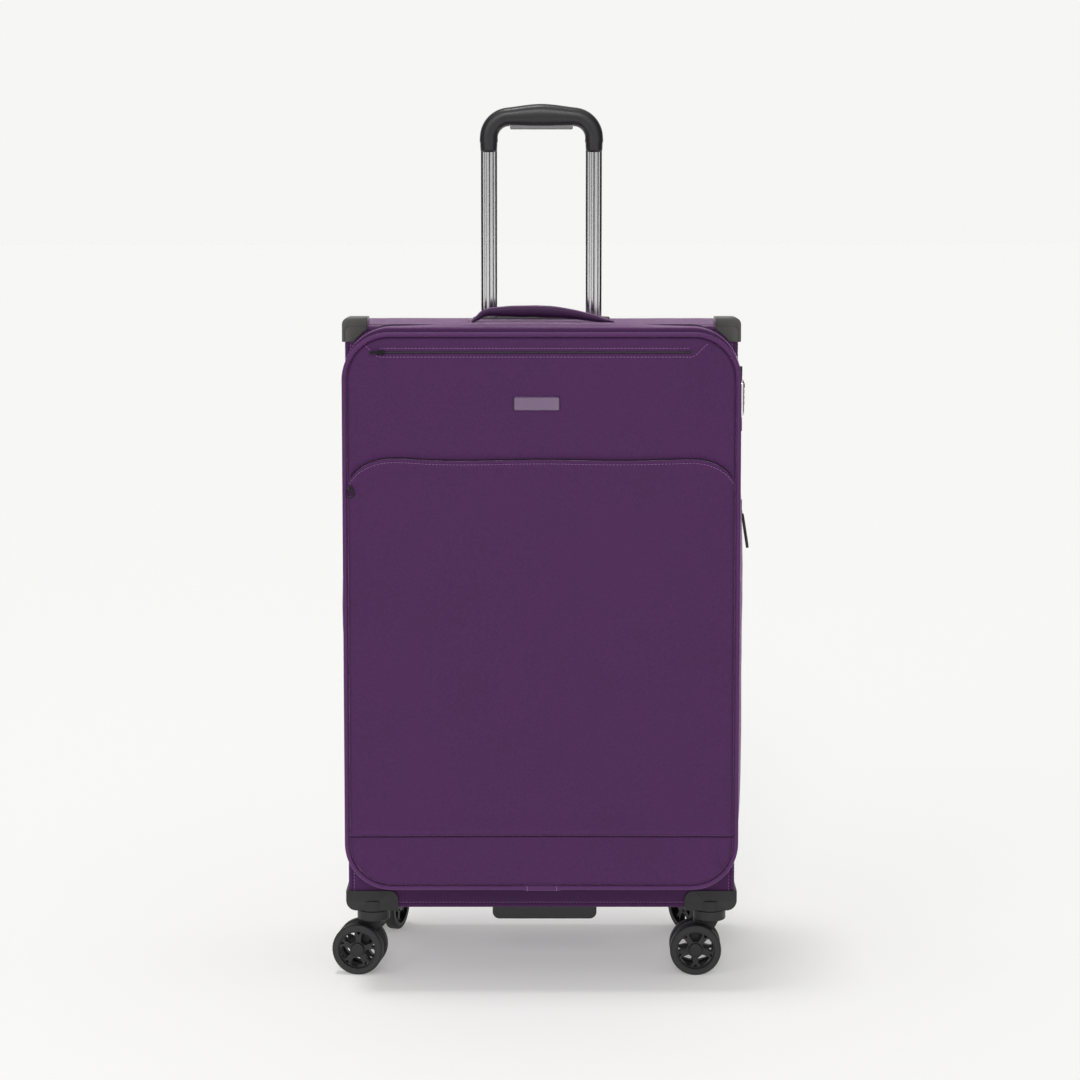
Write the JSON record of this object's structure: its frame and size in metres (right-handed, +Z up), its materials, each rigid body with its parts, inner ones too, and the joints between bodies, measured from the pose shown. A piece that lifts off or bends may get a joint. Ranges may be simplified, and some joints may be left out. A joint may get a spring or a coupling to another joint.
{
  "type": "softside upright suitcase",
  "caption": "Tall soft-sided upright suitcase with a zipped front lid, pockets, telescopic handle, swivelling twin-wheel casters and a side lock.",
  "frame": {"origin": "middle of the whole case's footprint, on the floor it stands on", "axes": "+Z up, the lid faces -Y, +X to the right of somebody facing the lid"},
  "size_m": [0.54, 0.3518, 1.123],
  "materials": {
    "case_fabric": "woven polyester with a soft sheen",
    "lining_fabric": "thin matt lining cloth",
    "zip_tape": "coil zip on woven tape",
    "black_plastic": "moulded, fine grain",
    "grip_plastic": "soft-touch satin",
    "button_plastic": "satin",
    "wheel_plastic": "moulded satin",
    "tyre_rubber": "smooth tread",
    "board_plastic": "extruded sheet",
    "polished_tube": "polished, clear anodised",
    "plain_tube": "satin, anodised",
    "steel": "zinc plated",
    "plate_metal": "satin metallic",
    "lock_chrome": "polished",
    "lock_black": "gloss",
    "pull_black": "black plated zinc"
  },
  "bodies": {
    "case": {"body_shell": "case_fabric", "body_lining": "lining_fabric", "base_board": "board_plastic", "back_board": "board_plastic", "packing_straps": "lining_fabric", "strap_buckle": "black_plastic", "corner_guard_left": "black_plastic", "corner_guard_right": "black_plastic", "main_zip_body": "zip_tape", "wheel_housing_front_left": "black_plastic", "wheel_housing_front_right": "black_plastic", "wheel_housing_rear_left": "black_plastic", "wheel_housing_rear_right": "black_plastic", "caster_stems": "steel", "base_screws": "steel", "bottom_grip": "black_plastic", "top_handle": "case_fabric", "side_handle": "case_fabric", "outer_tubes": "plain_tube", "handle_bezel": "black_plastic", "tube_foot": "black_plastic", "lock_case": "lock_chrome"},
    "lid": {"lid_shell": "case_fabric", "upper_pocket": "case_fabric", "lower_pocket": "case_fabric", "lid_piping": "case_fabric", "name_plate": "plate_metal", "main_zip_lid": "zip_tape"},
    "handle": {"handle_grip": "grip_plastic", "inner_tubes": "polished_tube", "tube_plugs": "black_plastic"},
    "release": {"release_button": "button_plastic", "push_rods": "steel"},
    "caster_front_left": {"fork_front_left": "black_plastic"},
    "wheel_pair_front_left": {"wheels_front_left": "wheel_plastic", "tyres_front_left": "tyre_rubber", "axle_front_left": "steel"},
    "caster_front_right": {"fork_front_right": "black_plastic"},
    "wheel_pair_front_right": {"wheels_front_right": "wheel_plastic", "tyres_front_right": "tyre_rubber", "axle_front_right": "steel"},
    "caster_rear_left": {"fork_rear_left": "black_plastic"},
    "wheel_pair_rear_left": {"wheels_rear_left": "wheel_plastic", "tyres_rear_left": "tyre_rubber", "axle_rear_left": "steel"},
    "caster_rear_right": {"fork_rear_right": "black_plastic"},
    "wheel_pair_rear_right": {"wheels_rear_right": "wheel_plastic", "tyres_rear_right": "tyre_rubber", "axle_rear_right": "steel"},
    "dial_1": {"lock_dial_1": "lock_black"},
    "dial_2": {"lock_dial_2": "lock_black"},
    "dial_3": {"lock_dial_3": "lock_black"},
    "lock_button": {"lock_release": "lock_black"},
    "key_plug": {"lock_cylinder": "lock_chrome"},
    "main_slider_upper": {"main_slider_upper": "pull_black"},
    "main_slider_lower": {"main_slider_lower": "pull_black"},
    "expansion_slider": {"expansion_slider": "pull_black"},
    "pocket_slider": {"pocket_slider": "pull_black"},
    "expansion_pull": {"expansion_pull": "pull_black"},
    "side_pocket_pull": {"side_pocket_pull": "lock_chrome"}
  },
  "joints": [
    {"name": "lid_hinge", "type": "hinge", "parent": "case", "child": "lid", "pos_m": [-0.24477, -0.09136, 0], "axis": [0, 0, -1], "range_deg": [0, 175]},
    {"name": "handle_slide", "type": "slide", "parent": "case", "child": "handle", "axis": [0, 0, 1], "range_m": [-0.282, 0]},
    {"name": "release_press", "type": "slide", "parent": "handle", "child": "release", "axis": [0, 0, 1], "range_m": [0, 0.004], "stiffness_N_per_m": 800, "springref_m": -0.004},
    {"name": "swivel_front_left", "type": "hinge", "parent": "case", "child": "caster_front_left", "pos_m": [-0.21397, -0.07336, 0.083], "axis": [0, 0, 1], "continuous": true},
    {"name": "spin_front_left", "type": "hinge", "parent": "caster_front_left", "child": "wheel_pair_front_left", "pos_m": [-0.2318, -0.07085, 0.033], "axis": [0.1392, 0.9903, 0], "continuous": true},
    {"name": "swivel_front_right", "type": "hinge", "parent": "case", "child": "caster_front_right", "pos_m": [0.22002, -0.07336, 0.083], "axis": [0, 0, 1], "continuous": true},
    {"name": "spin_front_right", "type": "hinge", "parent": "caster_front_right", "child": "wheel_pair_front_right", "pos_m": [0.20203, -0.07304, 0.033], "axis": [0.0175, 0.9998, 0], "continuous": true},
    {"name": "swivel_rear_left", "type": "hinge", "parent": "case", "child": "caster_rear_left", "pos_m": [-0.21397, 0.12164, 0.083], "axis": [0, 0, 1], "continuous": true},
    {"name": "spin_rear_left", "type": "hinge", "parent": "caster_rear_left", "child": "wheel_pair_rear_left", "pos_m": [-0.20841, 0.13876, 0.033], "axis": [0.9511, -0.309, 0], "continuous": true},
    {"name": "swivel_rear_right", "type": "hinge", "parent": "case", "child": "caster_rear_right", "pos_m": [0.22002, 0.12164, 0.083], "axis": [0, 0, 1], "continuous": true},
    {"name": "spin_rear_right", "type": "hinge", "parent": "caster_rear_right", "child": "wheel_pair_rear_right", "pos_m": [0.21102, 0.13723, 0.033], "axis": [0.866, 0.5, 0], "continuous": true},
    {"name": "dial_1_turn", "type": "hinge", "parent": "case", "child": "dial_1", "pos_m": [0.25462, -0.06236, 0.745], "axis": [0, 0, 1], "continuous": true},
    {"name": "dial_2_turn", "type": "hinge", "parent": "case", "child": "dial_2", "pos_m": [0.25462, -0.06236, 0.745], "axis": [0, 0, 1], "continuous": true},
    {"name": "dial_3_turn", "type": "hinge", "parent": "case", "child": "dial_3", "pos_m": [0.25462, -0.06236, 0.745], "axis": [0, 0, 1], "continuous": true},
    {"name": "lock_button_slide", "type": "slide", "parent": "case", "child": "lock_button", "axis": [0, 0, -1], "range_m": [0, 0.002], "stiffness_N_per_m": 500, "springref_m": -0.002},
    {"name": "key_turn", "type": "hinge", "parent": "case", "child": "key_plug", "pos_m": [0.26003, -0.06236, 0.7275], "axis": [1, 0, 0], "range_deg": [0, 90]},
    {"name": "main_slider_upper_slide", "type": "slide", "parent": "case", "child": "main_slider_upper", "axis": [0, 0, 1], "range_m": [-0.04, 0]},
    {"name": "main_slider_lower_slide", "type": "slide", "parent": "case", "child": "main_slider_lower", "axis": [0, 0, 1], "range_m": [-0.52, 0.04]},
    {"name": "expansion_slider_slide", "type": "slide", "parent": "case", "child": "expansion_slider", "axis": [0, 0, 1], "range_m": [-0.4, 0.16]},
    {"name": "pocket_slider_slide", "type": "slide", "parent": "lid", "child": "pocket_slider", "axis": [1, 0, 0], "range_m": [0, 0.375]},
    {"name": "expansion_pull_swing", "type": "hinge", "parent": "expansion_slider", "child": "expansion_pull", "pos_m": [0.25912, -0.04336, 0.6024], "axis": [0, -1, 0], "range_deg": [0, 140]},
    {"name": "side_pocket_pull_swing", "type": "hinge", "parent": "lid", "child": "side_pocket_pull", "pos_m": [-0.23297, -0.17486, 0.6434], "axis": [-1, 0, 0], "range_deg": [0, 150]}
  ]
}
